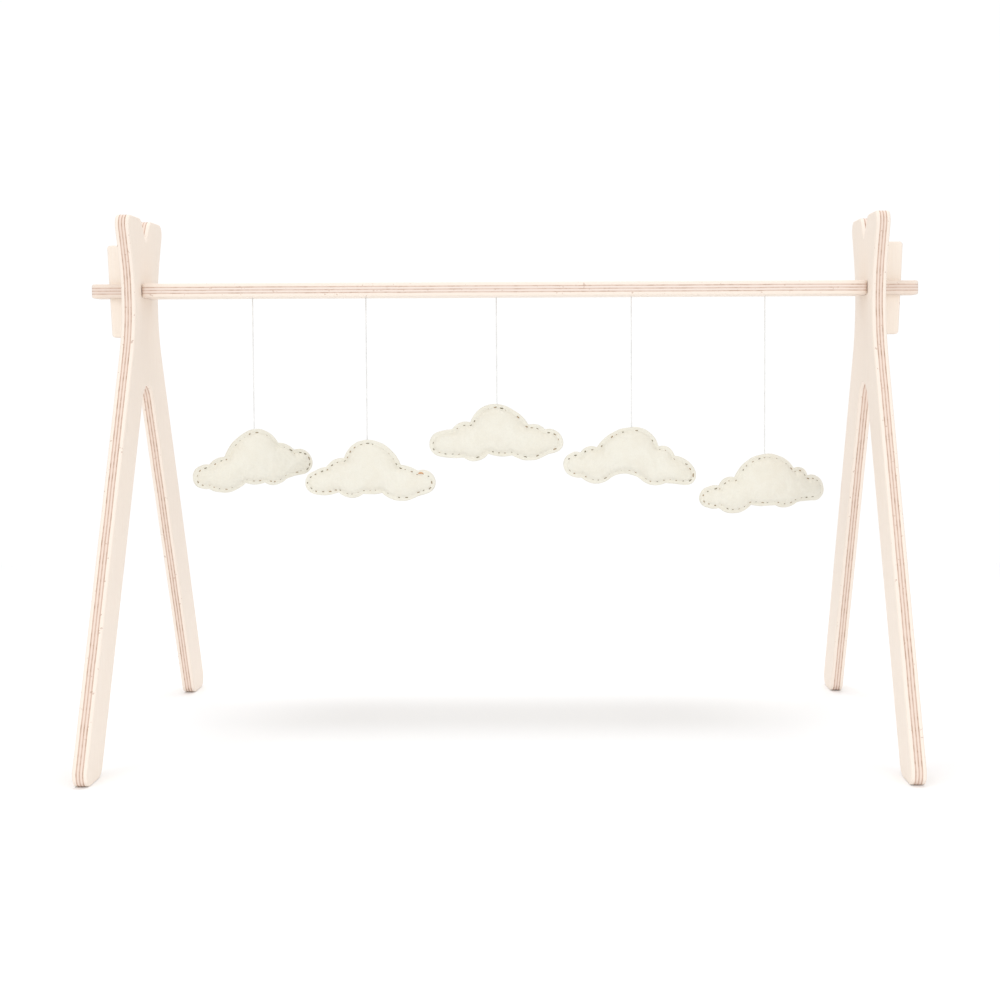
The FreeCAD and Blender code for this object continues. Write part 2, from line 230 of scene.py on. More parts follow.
def new_material(name: str) -> tuple:
    """Material with an empty Principled shader.

    Args:
        name: Name of the material.

    Returns:
        The material, a Bench on its tree, and its Principled node.
    """
    material = bpy.data.materials.new(name)
    material.use_nodes = True
    bench = Bench(material.node_tree)
    return material, bench, material.node_tree.nodes["Principled BSDF"]


# ---------------------------------------------------------------- shared shader groups


@dataclass(frozen=True)
class PlyStack:
    """Layers of the sheet, as distances from its middle."""

    line_width: float = 1.25 * MM
    line_spacing: float = 3.15 * MM
    softness: float = 0.22 * MM
    inner_reach: float = 3.7 * MM
    face_start: float = 7.05 * MM
    face_full: float = 7.42 * MM

    def group(self) -> bpy.types.NodeTree:
        """Builds the group that says which layer a point is in.

        Returns:
            Group with inputs Across and Waver, and outputs Line, Inner and Face.
        """
        tree, bench, source, result = shader_group(
            "ply_stack", {"Across": "Float", "Waver": "Float"},
            {"Line": "Float", "Inner": "Float", "Face": "Float"})
        moved = bench.math("ADD", source.outputs["Across"], source.outputs["Waver"])
        away = bench.math("ABSOLUTE", moved)
        half, soft = self.line_width / 2, self.softness
        beside = bench.math("ABSOLUTE", bench.math("SUBTRACT", away, self.line_spacing))
        bench.feed(result.inputs["Line"], bench.math("MAXIMUM", bench.band(away, half, soft),
                                                     bench.band(beside, half, soft)))
        bench.feed(result.inputs["Inner"], bench.band(away, self.inner_reach, soft))
        plain = bench.math("ABSOLUTE", source.outputs["Across"])
        bench.feed(result.inputs["Face"], bench.ramp(plain, self.face_start, self.face_full))
        return tree


@dataclass(frozen=True)
class BirchGrain:
    """Fine streaks, slow figure and flecks of birch, in features per metre."""

    streak_scale: float = 900.0
    figure_scale: float = 45.0
    figure_rings: float = 9.0
    fleck_scale: float = 150.0

    def group(self) -> bpy.types.NodeTree:
        """Builds the grain group, which reads coordinates already stretched along the grain.

        Returns:
            Group with input Vector, and outputs Streaks, Figure and Flecks.
        """
        tree, bench, source, result = shader_group(
            "birch_grain", {"Vector": "Vector"},
            {"Streaks": "Float", "Figure": "Float", "Flecks": "Float"})
        vector = source.outputs["Vector"]
        streaks = bench.speckle(vector, self.streak_scale, 4.0, 0.6)
        bench.feed(result.inputs["Streaks"], bench.ramp(streaks, 0.32, 0.68))
        bent = bench.speckle(vector, self.figure_scale, 2.0, 0.4)
        rings = bench.math("FRACT", bench.times(bent, self.figure_rings))
        bench.feed(result.inputs["Figure"],
                   bench.math("ABSOLUTE", bench.math("SUBTRACT", rings, 0.5)))
        spots = bench.add("ShaderNodeTexVoronoi", {"Vector": vector, "Scale": self.fleck_scale})
        small = bench.ramp(spots.outputs["Distance"], 0.04, 0.16, 1.0, 0.0)
        rare = bench.ramp(bench.speckle(vector, self.fleck_scale / 3, 1.0), 0.60, 0.66)
        bench.feed(result.inputs["Flecks"], bench.times(small, rare))
        return tree


@dataclass(frozen=True)
class WoolFibre:
    """Matted wool: short curled fibres over slow cloudiness, in features per metre."""

    fibre_scale: float = 2600.0
    curl_scale: float = 700.0
    curl_reach: float = 1.4 * MM
    cloudy_scale: float = 60.0
    fibre_share: float = 0.45

    def group(self) -> bpy.types.NodeTree:
        """Builds the felt group.

        Returns:
            Group with input Vector, and outputs Fibre, Curl, Cloudy and Height.
        """
        tree, bench, source, result = shader_group(
            "wool_fibre", {"Vector": "Vector"},
            {"Fibre": "Float", "Curl": "Float", "Cloudy": "Float", "Height": "Float"})
        vector = source.outputs["Vector"]
        bend = bench.add("ShaderNodeTexNoise", {"Vector": vector, "Scale": self.curl_scale,
                                                "Detail": 2.0})
        pushed = bench.add("ShaderNodeVectorMath",
                           {0: bend.outputs["Color"], "Scale": self.curl_reach},
                           operation="SCALE").outputs[0]
        curled = bench.add("ShaderNodeVectorMath", {0: vector, 1: pushed}).outputs[0]
        lying, across = (bench.speckle(bench.stretched(curled, scale), self.fibre_scale)
                         for scale in ((1.0, 1.0, 0.28), (0.28, 1.0, 1.0)))
        fibre = bench.ramp(bench.math("MAXIMUM", lying, across), 0.42, 0.74)
        curl = bench.speckle(vector, self.curl_scale)
        height = bench.math("ADD", bench.times(fibre, self.fibre_share),
                            bench.times(curl, 1 - self.fibre_share))
        for name, value in (("Fibre", fibre), ("Curl", curl), ("Height", height),
                            ("Cloudy", bench.speckle(vector, self.cloudy_scale, 2.0))):
            bench.feed(result.inputs[name], value)
        return tree


class Shelf:
    """The shader groups that several materials share, each built once."""

    def __init__(self) -> None:
        """Builds the groups."""
        self.plies = PlyStack().group()
        self.grain = BirchGrain().group()
        self.wool = WoolFibre().group()


# ---------------------------------------------------------------- finishes


@dataclass(frozen=True)
class PlywoodFinish:
    """Clear-sealed birch plywood, with its layers showing on every sawn edge."""

    name: str
    through: Axis
    along: Axis
    middle: float
    seed: float
    face: tuple = shade(243, 231, 219)
    face_streak: tuple = shade(237, 223, 209)
    outer_ply: tuple = shade(241, 229, 217)
    inner_ply: tuple = shade(232, 214, 201)
    dark_ply: tuple = shade(206, 176, 158)
    dark_deep: tuple = shade(182, 150, 129)
    fleck: tuple = shade(176, 138, 110)
    waver: float = 0.64 * MM
    along_squeeze: float = 0.045
    pore_scale: float = 1500.0
    blotch_scale: float = 120.0
    knot_scale: float = 260.0
    # Darkening towards dark_ply, up to this share, between these distances along X from the middle;
    # only the crossbar reaches it, next to each shoulder where it meets a frame.
    shoulder_dark_start: float = 10.0
    shoulder_dark_end: float = 11.0
    shoulder_dark_share: float = 0.26

    def face_colour(self, bench: Bench, grain: bpy.types.Node) -> Socket:
        """Colour of the face veneer.

        Args:
            bench: Bench on the material's tree.
            grain: The grain group's node.

        Returns:
            The colour's socket.
        """
        colour = self.face
        for part, share, tint in (("Streaks", 0.42, self.face_streak),
                                  ("Figure", 0.30, self.face_streak),
                                  ("Flecks", 0.35, self.fleck)):
            colour = bench.mix(bench.times(grain.outputs[part], share), colour, tint)
        return colour

    def edge_colour(self, bench: Bench, plies: bpy.types.Node, pores: Socket, blotch: Socket,
                    knots: Socket) -> Socket:
        """Colour of the sawn edge: pale plies, dark lines between them, pores and pin knots.

        Args:
            bench: Bench on the material's tree.
            plies: The ply group's node.
            pores: Fine noise.
            blotch: Coarse noise.
            knots: Noise whose peaks are pin knots.

        Returns:
            The colour's socket.
        """
        edge = bench.mix(plies.outputs["Inner"], self.outer_ply, self.inner_ply)
        edge = bench.mix(bench.ramp(pores, 0.50, 0.80, 0.0, 0.30), edge, self.dark_ply)
        dark = bench.mix(bench.ramp(blotch, 0.45, 0.72), self.dark_ply, self.dark_deep)
        strength = bench.ramp(blotch, 0.15, 0.60, 0.72, 1.0)
        edge = bench.mix(bench.times(plies.outputs["Line"], strength), edge, dark)
        return bench.mix(bench.ramp(knots, 0.70, 0.76, 0.0, 0.55), edge, self.dark_deep)

    def build(self, shelf: Shelf) -> bpy.types.Material:
        """Makes the material.

        Args:
            shelf: The shared groups.

        Returns:
            The plywood material.
        """
        material, bench, surface = new_material(self.name)
        place = bench.place()
        parts = bench.add("ShaderNodeSeparateXYZ", {0: place}).outputs
        drift = bench.math("SUBTRACT", bench.speckle(place, 30.0, 2.0), 0.5)
        plies = bench.add("ShaderNodeGroup", {
            "Across": bench.math("SUBTRACT", parts[self.through.value], self.middle),
            "Waver": bench.times(drift, self.waver)}, node_tree=shelf.plies)
        squeeze = [1.0, 1.0, 1.0]
        squeeze[self.along.value] = self.along_squeeze
        shifted = (self.seed, 0.7 * self.seed, 1.3 * self.seed)
        grain = bench.add("ShaderNodeGroup", {
            "Vector": bench.stretched(place, tuple(squeeze), shifted)}, node_tree=shelf.grain)
        pores = bench.speckle(place, self.pore_scale, 3.0, 0.7)
        blotch = bench.speckle(place, self.blotch_scale, 3.0, 0.6)
        edge = self.edge_colour(bench, plies, pores, blotch,
                                bench.speckle(place, self.knot_scale, 1.0))
        colour = bench.mix(plies.outputs["Face"], edge, self.face_colour(bench, grain))

        # Darker and browner towards each shoulder of the bar, where it meets a frame, with a blotchy
        # edge.
        reach = bench.math("ABSOLUTE", parts[Axis.X.value])
        shoulder_dark = bench.ramp(reach, self.shoulder_dark_start, self.shoulder_dark_end, 0.0, self.shoulder_dark_share)
        shoulder_dark = bench.times(shoulder_dark, bench.ramp(blotch, 0.25, 0.65, 0.6, 1.0))
        bench.feed(surface.inputs["Base Color"], bench.mix(shoulder_dark, colour, self.dark_ply))
        face_rough = bench.ramp(grain.outputs["Streaks"], 0.0, 1.0, 0.50, 0.62)
        rough = bench.add("ShaderNodeMix", {0: plies.outputs["Face"], 3: face_rough,
                                            2: bench.math("ADD", face_rough, 0.14)})
        bench.feed(surface.inputs["Roughness"], rough.outputs[0])
        raised = bench.math("SUBTRACT", grain.outputs["Streaks"],
                            bench.times(plies.outputs["Line"], 0.9))
        raised = bench.math("ADD", raised, bench.times(pores, 0.5))
        bench.bump(surface, raised, 0.35, 0.12 * MM)
        for name, value in (("Specular IOR Level", 0.35), ("Coat Weight", 0.06),
                            ("Coat Roughness", 0.4)):
            surface.inputs[name].default_value = value
        return material


@dataclass(frozen=True)
class FeltFinish:
    """Undyed wool felt, matt and slightly fuzzy."""

    name: str
    light: tuple = shade(231, 228, 216)
    warm: tuple = shade(224, 218, 202)
    fibre: tuple = shade(238, 236, 227)

    def build(self, shelf: Shelf) -> bpy.types.Material:
        """Makes the material.

        Args:
            shelf: The shared groups.

        Returns:
            The felt material.
        """
        material, bench, surface = new_material(self.name)
        wool = bench.add("ShaderNodeGroup", {"Vector": bench.place()},
                         node_tree=shelf.wool).outputs
        cloudy = bench.ramp(wool["Cloudy"], 0.30, 0.80, 0.0, 0.5)
        colour = bench.mix(cloudy, self.light, self.warm)
        curl = bench.ramp(wool["Curl"], 0.45, 0.75, 0.0, 0.35)
        colour = bench.mix(curl, colour, self.warm)
        colour = bench.mix(bench.times(wool["Fibre"], 0.45), colour, self.fibre)
        bench.feed(surface.inputs["Base Color"], colour)
        bench.feed(surface.inputs["Roughness"], bench.ramp(wool["Fibre"], 0.0, 1.0, 0.97, 0.86))
        bench.bump(surface, wool["Height"], 0.55, 0.28 * MM)
        for name, value in (("Specular IOR Level", 0.15), ("Sheen Weight", 0.10),
                            ("Sheen Roughness", 0.6)):
            surface.inputs[name].default_value = value
        return material


@dataclass(frozen=True)
class ThreadFinish:
    """Twisted thread or cord, with two colours that change along it."""

    name: str
    main: tuple
    other: tuple
    change_scale: float
    twist_scale: float
    lean: float = 0.9

    def build(self, shelf: Shelf) -> bpy.types.Material:
        """Makes the material.

        Args:
            shelf: The shared groups.

        Returns:
            The thread material.
        """
        material, bench, surface = new_material(self.name)
        place = bench.place()
        turned = bench.add("ShaderNodeMapping", {"Vector": place,
                                                 "Rotation": (0.0, self.lean, self.lean / 2)})
        strands = bench.add("ShaderNodeTexWave", {
            "Vector": turned.outputs[0], "Scale": self.twist_scale, "Distortion": 0.6,
            "Detail": 1.0}).outputs["Fac"]
        fibre = bench.add("ShaderNodeGroup", {"Vector": place},
                          node_tree=shelf.wool).outputs["Fibre"]
        change = bench.ramp(bench.speckle(place, self.change_scale, 1.0), 0.42, 0.58)
        colour = bench.mix(change, self.main, self.other)
        # Painted shade: darker in the grooves between the twisted strands, towards the second
        # colour.
        groove_shade = bench.ramp(strands, 0.05, 0.55, 0.30, 0.0)
        colour = bench.mix(groove_shade, colour, self.other, "MULTIPLY")
        colour = bench.mix(bench.times(fibre, 0.25), colour, self.main, "SCREEN")
        bench.feed(surface.inputs["Base Color"], colour)
        bench.feed(surface.inputs["Roughness"], bench.ramp(fibre, 0.0, 1.0, 0.90, 0.75))
        bench.bump(surface, bench.math("ADD", strands, bench.times(fibre, 0.4)), 0.6, 0.12 * MM)
        surface.inputs["Specular IOR Level"].default_value = 0.2
        surface.inputs["Sheen Weight"].default_value = 0.15
        return material


# ---------------------------------------------------------------- mesh helpers


def placed(name: str, data: bpy.types.ID) -> bpy.types.Object:
    """New object at the origin, linked to the scene.

    Args:
        name: Name of the object.
        data: Its mesh, curve, camera or light.

    Returns:
        The object.
    """
    made = bpy.data.objects.new(name, data)
    bpy.context.scene.collection.objects.link(made)
    return made


def mesh_piece(name: str, points: np.ndarray, faces: list, smooth: bool = True) -> bpy.types.Object:
    """Mesh object at the origin.

    Args:
        name: Name of the piece.
        points: Places of its points, one row each.
        faces: Point numbers of each face.
        smooth: Whether the faces are shaded smooth.

    Returns:
        The object, linked to the scene.
    """
    mesh = bpy.data.meshes.new(name)
    mesh.from_pydata([tuple(p) for p in points], [], faces)
    mesh.polygons.foreach_set("use_smooth", [smooth] * len(mesh.polygons))
    mesh.validate()
    return placed(name, mesh)


def finished(piece: bpy.types.Object) -> bpy.types.Object:
    """Turns a piece's modifiers into plain mesh.

    Args:
        piece: Mesh or curve object with modifiers.

    Returns:
        A mesh object of the same name.
    """
    bpy.context.view_layer.update()
    evaluated = piece.evaluated_get(bpy.context.evaluated_depsgraph_get())
    mesh = bpy.data.meshes.new_from_object(evaluated)
    name = piece.name
    bpy.data.objects.remove(piece)
    mesh.name = name
    return placed(name, mesh)


def joined(name: str, pieces: list[bpy.types.Object]) -> bpy.types.Object:
    """One mesh object from several, which are removed.

    Args:
        name: Name of the new piece.
        pieces: Mesh objects at the origin.

    Returns:
        The joined object.
    """
    points, faces = [], []
    for piece in pieces:
        start = len(points)
        points += [tuple(v.co) for v in piece.data.vertices]
        faces += [[start + i for i in face.vertices] for face in piece.data.polygons]
        bpy.data.objects.remove(piece)
    return mesh_piece(name, np.array(points), faces)


def line_through(name: str, points: list[Vector], closed: bool) -> bpy.types.Object:
    """Curve object that runs straight from point to point.

    Args:
        name: Name of the object.
        points: The points, in order.
        closed: Whether the last point joins the first.

    Returns:
        The curve object.
    """
    curve = bpy.data.curves.new(name, "CURVE")
    curve.dimensions = "3D"
    spline = curve.splines.new("POLY")
    spline.points.add(len(points) - 1)
    for target, point in zip(spline.points, points):
        target.co = (*point, 1.0)
    spline.use_cyclic_u = closed
    return placed(name, curve)


def tube_along(name: str, points: list[Vector], radius: float,
               closed: bool = False) -> bpy.types.Object:
    """Round tube along a line of points.

    Args:
        name: Name of the piece.
        points: The points, in order.
        radius: Radius of the tube.
        closed: Whether the tube is a ring.

    Returns:
        The tube, a closed mesh.
    """
    piece = line_through(name, points, closed)
    piece.data.bevel_depth = radius
    piece.data.bevel_resolution = TUBE_ROUNDNESS
    piece.data.use_fill_caps = True
    return finished(piece)


def dress(piece: bpy.types.Object, material: bpy.types.Material) -> None:
    """Gives a piece its one material.

    Args:
        piece: A mesh or curve object.
        material: The material.
    """
    if piece.material_slots:
        for slot in piece.material_slots:
            slot.material = material
    else:
        piece.data.materials.append(material)


def settle(piece: bpy.types.Object, material: bpy.types.Material, body: str, slot: str,
           *nodes: str) -> None:
    """Dresses a piece and says what it rides and what it replaces.

    Args:
        piece: The piece.
        material: Its material.
        body: The body that it rides.
        slot: The record's material slot; not used.
        *nodes: The CAD nodes that it replaces.
    """
    dress(piece, material)
    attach(piece, body)
    if nodes:
        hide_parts(*nodes)


def upright(node: str) -> tuple[float, float, float]:
    """X of a CAD piece's middle, its lowest Z and its highest Z."""
    low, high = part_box(node)
    return (low.x + high.x) / 2, low.z, high.z


# ---------------------------------------------------------------- studio


@dataclass
class Studio:
    """Camera, pale floor and soft light."""

    focal: float = 64.95
    sensor: float = 36.0
    eye: tuple = (0.05836, -1.97525, 0.39721)
    yaw: float = -0.567
    pitch: float = 2.962
    roll: float = -0.258
    shift: tuple = (-0.0408, -0.0377)
    floor_half: float = 1.7
    paper: tuple = (shade(253, 253, 253), shade(252, 252, 253))
    # Painted shadow on the floor under the object: its colour, how it fades across X and Y, and the
    # Y of its middle.
    painted_shadow_tone: tuple = shade(229, 228, 227)
    painted_shadow_width: tuple = (0.16, 0.46)
    painted_shadow_depth: tuple = (0.02, 0.22)
    painted_shadow_middle: float = 0.08
    sky: float = 0.79
    seen_sky: float = 1.02
    lamps: tuple = (
        ("over", (0.0, 0.7, 2.4), (0.0, 0.5, 0.0), 2.8, 24.0),
        ("front_left", (-1.5, -2.7, 1.6), (0.0, 0.0, 0.3), 2.4, 19.0),
        ("front_right", (1.3, -2.8, 1.2), (0.0, 0.0, 0.3), 2.4, 16.0),
    )

    def camera(self) -> None:
        """Makes the camera and the scene's view settings."""
        data = bpy.data.cameras.new("view")
        data.lens, data.sensor_width = self.focal, self.sensor
        data.shift_x, data.shift_y = self.shift
        yaw, pitch, roll = (math.radians(a) for a in (self.yaw, self.pitch, self.roll))
        ahead = Vector((math.sin(yaw), math.cos(yaw), 0.0))
        right = Vector((math.cos(yaw), -math.sin(yaw), 0.0))
        forward = math.cos(pitch) * ahead - math.sin(pitch) * Vector((0, 0, 1))
        up = math.sin(pitch) * ahead + math.cos(pitch) * Vector((0, 0, 1))
        across = math.cos(roll) * right + math.sin(roll) * up
        upward = -math.sin(roll) * right + math.cos(roll) * up
        camera = placed("view", data)
        camera.matrix_world = Matrix.Translation(self.eye) @ Matrix(
            (across, upward, -forward)).transposed().to_4x4()
        bpy.context.scene.camera = camera
        bpy.context.scene.view_settings.view_transform = "Standard"
        log.info("camera %s", camera.name)

    def floor(self) -> None:
        """Lays the pale floor, with a painted soft shadow on it under the object."""
        h = self.floor_half
        floor = mesh_piece("floor", np.array([(-h, -h, 0), (h, -h, 0), (h, h, 0), (-h, h, 0)]),
                           [[0, 1, 2, 3]], smooth=False)
        material, bench, surface = new_material("studio_floor")
        place = bench.place()
        paper = bench.mix(bench.ramp(bench.speckle(place, 3.0, 2.0), 0.3, 0.7), *self.paper)
        # Painted shadow: the floor's colour is darker in a soft patch under the object, where the
        # bar and clouds would shade it.
        parts = bench.add("ShaderNodeSeparateXYZ", {0: place}).outputs
        aside = bench.math("ABSOLUTE", parts[0])
        away = bench.math("ABSOLUTE", bench.math("SUBTRACT", parts[1], self.painted_shadow_middle))
        under = bench.times(bench.ramp(aside, *self.painted_shadow_width, 1.0, 0.0),
                            bench.ramp(away, *self.painted_shadow_depth, 1.0, 0.0))
        bench.feed(surface.inputs["Base Color"], bench.mix(under, paper, self.painted_shadow_tone))
        surface.inputs["Roughness"].default_value = 0.9
        surface.inputs["Specular IOR Level"].default_value = 0.1
        dress(floor, material)

    def lamp(self, name: str, place: tuple, aim: tuple, size: float, power: float) -> None:
        """Hangs one soft square light.

        Args:
            name: Name of the light.
            place: Where it hangs.
            aim: The point that it faces.
            size: Side of the square.
            power: Power in watts.
        """
        data = bpy.data.lights.new(name, "AREA")
        data.size, data.energy = size, power
        lamp = placed(name, data)
        lamp.location = place
        lamp.rotation_euler = (Vector(aim) - Vector(place)).to_track_quat("-Z", "Y").to_euler()

    def build(self) -> None:
        """Sets up the whole studio."""
        self.camera()
        self.floor()
        world = bpy.data.worlds.new("soft_box")
        bpy.context.scene.world = world
        world.use_nodes = True
        bench = Bench(world.node_tree)
        seen = bench.add("ShaderNodeLightPath").outputs["Is Camera Ray"]
        background = world.node_tree.nodes["Background"]
        background.inputs["Color"].default_value = (1, 1, 1, 1)
        bench.feed(background.inputs["Strength"],
                   bench.ramp(seen, 0.0, 1.0, self.sky, self.seen_sky))
        for lamp in self.lamps:
            self.lamp(*lamp)


# ---------------------------------------------------------------- cords


@dataclass
class HangingCord:
    """One cotton cord from the bar to its cloud, with a stopper knot on top of the bar."""

    number: int
    length: float
    diameter: float = 1.2 * MM
    knot_scale: float = 0.68 * MM
    knot_steps: int = 72
    knot_drop: float = 2.4 * MM
    stub: tuple = ((0.5, 0.4, 0.2), (1.2, 1.1, 1.5), (1.5, 1.6, 2.2))
    exit_height: float = 0.4760

    def free_length(self, finish: bpy.types.Material) -> bpy.types.Object:
        """Hangs the free stretch of the cord.

        Args:
            finish: The cord's material.

        Returns:
            The cord, a curve.
        """
        node = "cord_%d" % self.number
        x, low, high = upright(node)
        curve = bpy.data.curves.new(node + "_line", "CURVE")
        curve.dimensions = "3D"
        curve.bevel_depth = self.diameter / 2
        curve.bevel_resolution = 4
        curve.resolution_u = 24
        curve.use_fill_caps = True
        spline = curve.splines.new("NURBS")
        spline.points.add(2)
        for point, z in zip(spline.points, (high, (low + high) / 2, low)):
            point.co = (x, 0.0, z, 1.0)
        spline.order_u = 3
        spline.use_endpoint_u = True
        piece = placed(node + "_line", curve)
        settle(piece, finish, node, "hanging_cord", node)
        return piece

    def overhand(self, name: str, centre: Vector, tails: list[list[Vector]]) -> bpy.types.Object:
        """Ties an overhand knot.

        Args:
            name: Name of the piece.
            centre: Middle of the knot.
            tails: Lines of the cord that leave the knot.

        Returns:
            The knot, a mesh.
        """
        ring = []
        for i in range(self.knot_steps):
            t = math.tau * i / self.knot_steps
            ring.append(centre + self.knot_scale * Vector((
                math.sin(t) + 2 * math.sin(2 * t), math.cos(t) - 2 * math.cos(2 * t),
                -1.5 * math.sin(3 * t))))
        parts = [tube_along(name + "_ring", ring, self.diameter / 2, closed=True)]
        for i, tail in enumerate(tails):
            parts.append(tube_along("%s_tail_%d" % (name, i), tail, self.diameter / 2))
        return joined(name, parts)

    def build(self, finish: bpy.types.Material) -> None:
        """Hangs the cord and ties its top knot.

        Args:
            finish: The cord's material.
        """
        line = self.free_length(finish)
        node = "cord_%d_top_knot" % self.number
        x, low, high = upright(node)
        centre = Vector((x, 0.0, high - self.knot_drop))
        drop = [Vector((x, 0.0, z)) for z in (low - 0.3 * MM, centre.z)]
        stub = [centre + Vector(point) * MM for point in self.stub]
        knot = self.overhand("cord_%d_knot" % self.number, centre, [drop, stub])
        settle(knot, finish, "gym_frame", "hanging_cord", node)
        log.info("%s and %s", line.name, knot.name)


# ---------------------------------------------------------------- clouds

# How a stuffed felt behaves: Blender's cloth settings.
STUFFED_CLOTH = {
    "quality": 6, "mass": 0.25, "tension_stiffness": 18.0, "compression_stiffness": 18.0,
    "shear_stiffness": 8.0, "bending_stiffness": 9.0, "shrink_min": -0.010,
    "use_pressure": True, "uniform_pressure_force": 4.0, "vertex_group_mass": "seam",
}

# Cut edge of each cloud's felt in its own plane, in millimetres from the top of its cord:
# the start, then the middle and the end of each arc round it, by way of the crown.
CUT_EDGES = {
    1: ((-54, -38), (
        ((-46.5, -31.5), (-36, -29.5)), ((-21, -9.5), (0, 0)), ((16.5, -3.5), (27.5, -15.5)),
        ((38, -17.5), (47.5, -24)), ((61.5, -25), (69, -33.5)), ((68.5, -44.5), (57.5, -51)),
        ((47, -52.5), (37, -55.5)), ((24, -61.5), (11.5, -58.5)), ((0.5, -60.5), (-11, -58.5)),
        ((-33, -68), (-55, -63.5)), ((-60.5, -63.5), (-65.5, -62)), ((-74, -50), (-65.5, -39)),
        ((-60, -37.5), (-54, -38)))),
    2: ((-45.5, -30), (
        ((-36.5, -22), (-25.5, -20)), ((-15, -5), (0, 0)), ((21.5, -7.5), (36.5, -28)),
        ((45.5, -29.5), (55.5, -34.5)), ((66.5, -34.5), (73.5, -41)), ((74, -51), (64.5, -59)),
        ((60.5, -60), (55.5, -61.5)), ((38, -67), (16, -58)), ((6, -59.5), (-5, -59)),
        ((-18.5, -63.5), (-32, -57.5)), ((-45, -60.5), (-60, -59)), ((-69, -47), (-59, -34.5)),
        ((-52.5, -31.5), (-45.5, -30)))),
    3: ((-49, -27.5), (
        ((-40.5, -20.5), (-29, -20)), ((-18, -5), (0, 0)), ((19.5, -7.5), (34.5, -23)),
        ((43, -22.5), (52.5, -28.5)), ((65, -30), (71, -37.5)), ((72, -45.5), (65, -52.5)),
        ((60.5, -53.5), (56, -54.5)), ((37.5, -61.5), (16.5, -56)), ((3, -57), (-10, -54)),
        ((-22.5, -62), (-36.5, -58.5)), ((-49, -58.5), (-64.5, -56.5)), ((-74, -45), (-63, -30)),
        ((-56.5, -28.5), (-49, -27.5)))),
    4: ((-56, -28), (
        ((-47.5, -21), (-38, -22)), ((-21, -6), (0, 0)), ((20, -6), (29.5, -21)),
        ((39.5, -22), (47, -31.5)), ((59.5, -36), (69, -46.5)), ((68.5, -59), (58.5, -63.5)),
        ((47.5, -62), (37.5, -61)), ((24.5, -63.5), (12, -58.5)), ((-8, -50.5), (-25.5, -57)),
        ((-42, -61), (-55, -54.5)), ((-60.5, -54.5), (-66, -53)), ((-74.5, -41), (-66, -28)),
        ((-61, -26.5), (-56, -28)))),
    5: ((-54, -33.5), (
        ((-45.5, -25), (-35.5, -25)), ((-20.5, -7), (0, 0)), ((20, -4), (33, -16.5)),
        ((44, -17), (49, -25)), ((63, -27.5), (69, -37.5)), ((67, -48.5), (56.5, -52.5)),
        ((46, -52.5), (35.5, -54)), ((23.5, -59), (12.5, -56)), ((-1.5, -56.5), (-16, -55)),
        ((-35, -63.5), (-53.5, -57.5)), ((-60, -58), (-66.5, -56.5)), ((-76.5, -45.5), (-67.5, -35)),
        ((-61, -33), (-54, -33.5)))),
}


def arc_points(start: Vector, middle: Vector, end: Vector, step: float) -> list[Vector]:
    """Evenly spaced points on the arc through three points, without its end.

    Args:
        start: First point.
        middle: A point on the arc.
        end: Last point.
        step: Wanted distance between points.

    Returns:
        The points.
    """
    a, b = middle - start, end - start
    cross = 2 * (a.x * b.y - a.y * b.x)
    if abs(cross) < STRAIGHT:
        count = max(3, round(b.length / step))
        return [start + b * (i / count) for i in range(count)]
    centre = start + Vector((b.y * a.length_squared - a.y * b.length_squared,
                             a.x * b.length_squared - b.x * a.length_squared)) / cross
    first = math.atan2(*(start - centre).yx)
    sweep = (math.atan2(*(end - centre).yx) - first) % math.tau
    if cross < 0:
        sweep -= math.tau
    radius = (start - centre).length
    count = max(3, round(radius * abs(sweep) / step))
    return [centre + radius * Vector((math.cos(first + sweep * i / count),
                                      math.sin(first + sweep * i / count))) for i in range(count)]


